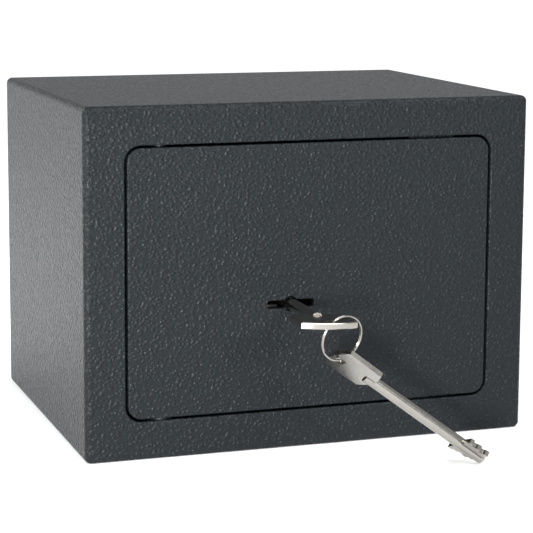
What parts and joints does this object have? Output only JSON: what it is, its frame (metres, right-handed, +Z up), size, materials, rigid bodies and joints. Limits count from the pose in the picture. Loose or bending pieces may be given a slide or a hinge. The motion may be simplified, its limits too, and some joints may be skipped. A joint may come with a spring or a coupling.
{
  "type": "key-locking safe",
  "caption": "Compact steel safe with a flush hinged door, double-bit lever lock, sliding round bolts and a pair of keys on a ring.",
  "frame": {"origin": "centre of the cabinet's underside", "axes": "+X to the right seen from the front, +Y towards the back, +Z up"},
  "size_m": [0.23, 0.2456, 0.172],
  "materials": {
    "textured_paint": "fine textured dark grey powder coat",
    "zinc_steel": "zinc plated",
    "hardened_steel": "black oxide",
    "nickel": "nickel plated, lightly worn",
    "brass": "machined",
    "felt_mat": "pressed felt"
  },
  "bodies": {
    "cabinet": {"body_sleeve": "textured_paint", "front_frame": "textured_paint", "back_pan": "textured_paint", "floor_mat": "felt_mat", "hinge_bracket_top": "textured_paint", "hinge_bracket_bottom": "textured_paint", "hinge_bush_top": "hardened_steel", "hinge_bush_bottom": "hardened_steel", "hinge_washer": "hardened_steel", "strike_plate": "textured_paint", "door_stop_top": "textured_paint", "door_stop_bottom": "textured_paint"},
    "door": {"door_plate": "textured_paint", "hinge_pin_top": "hardened_steel", "hinge_pin_bottom": "hardened_steel", "hard_plate": "hardened_steel", "bolt_guide": "zinc_steel", "mechanism_cover": "textured_paint", "cover_standoffs": "zinc_steel", "cover_screws": "zinc_steel", "lock_case": "zinc_steel", "lock_cover": "zinc_steel", "lock_standoffs": "zinc_steel", "lock_screws": "zinc_steel", "cam_carrier": "zinc_steel", "bolt_guide_posts": "zinc_steel", "lever_post": "zinc_steel"},
    "levers": {"lever_1": "brass", "lever_2": "brass", "lever_3": "brass", "lever_4": "brass", "lever_springs": "zinc_steel"},
    "lock_cam": {"lock_cam": "brass", "drive_pin": "zinc_steel"},
    "bolt_work": {"talon_plate": "zinc_steel", "bolt_stump": "zinc_steel", "bolt_carriage": "zinc_steel", "carriage_rivets": "zinc_steel", "lower_bolt": "zinc_steel", "upper_bolt": "zinc_steel"},
    "main_key": {"main_key_shank": "nickel", "main_key_bow": "nickel"},
    "key_ring": {"key_ring": "nickel"},
    "spare_key": {"spare_key_shank": "nickel", "spare_key_bow": "nickel"}
  },
  "joints": [
    {"name": "door_hinge", "type": "hinge", "parent": "cabinet", "child": "door", "pos_m": [-0.0758, -0.0815, 0.086], "axis": [0, 0, -1], "range_deg": [0, 100]},
    {"name": "key_turn", "type": "hinge", "parent": "door", "child": "lock_cam", "pos_m": [-0.0113, -0.0558, 0.0726], "axis": [0, -1, 0], "range_deg": [0, 180]},
    {"name": "bolt_throw", "type": "slide", "parent": "door", "child": "bolt_work", "axis": [1, 0, 0], "range_m": [0, 0.012]},
    {"name": "lever_lift", "type": "hinge", "parent": "door", "child": "levers", "pos_m": [-0.036, -0.0634, 0.096], "axis": [0, -1, 0], "range_deg": [0, 2], "stiffness_Nm_per_rad": 0.3, "springref_deg": -5.73},
    {"name": "key_insert", "type": "slide", "parent": "lock_cam", "child": "main_key", "axis": [0, -1, 0], "range_m": [0, 0.06]},
    {"name": "ring_swing", "type": "hinge", "parent": "main_key", "child": "key_ring", "pos_m": [-0.01087, -0.14292, 0.07257], "axis": [0.6979, 0.0396, 0.7151], "range_deg": [-30, 20]},
    {"name": "spare_key_swing", "type": "hinge", "parent": "key_ring", "child": "spare_key", "pos_m": [-0.00348, -0.13916, 0.06515], "axis": [0.268, -0.9404, -0.2094], "range_deg": [0, 30]}
  ],
  "couplings": [
    {"joint": "key_turn", "follows": "bolt_throw", "rad_per_m": 261.79}
  ]
}
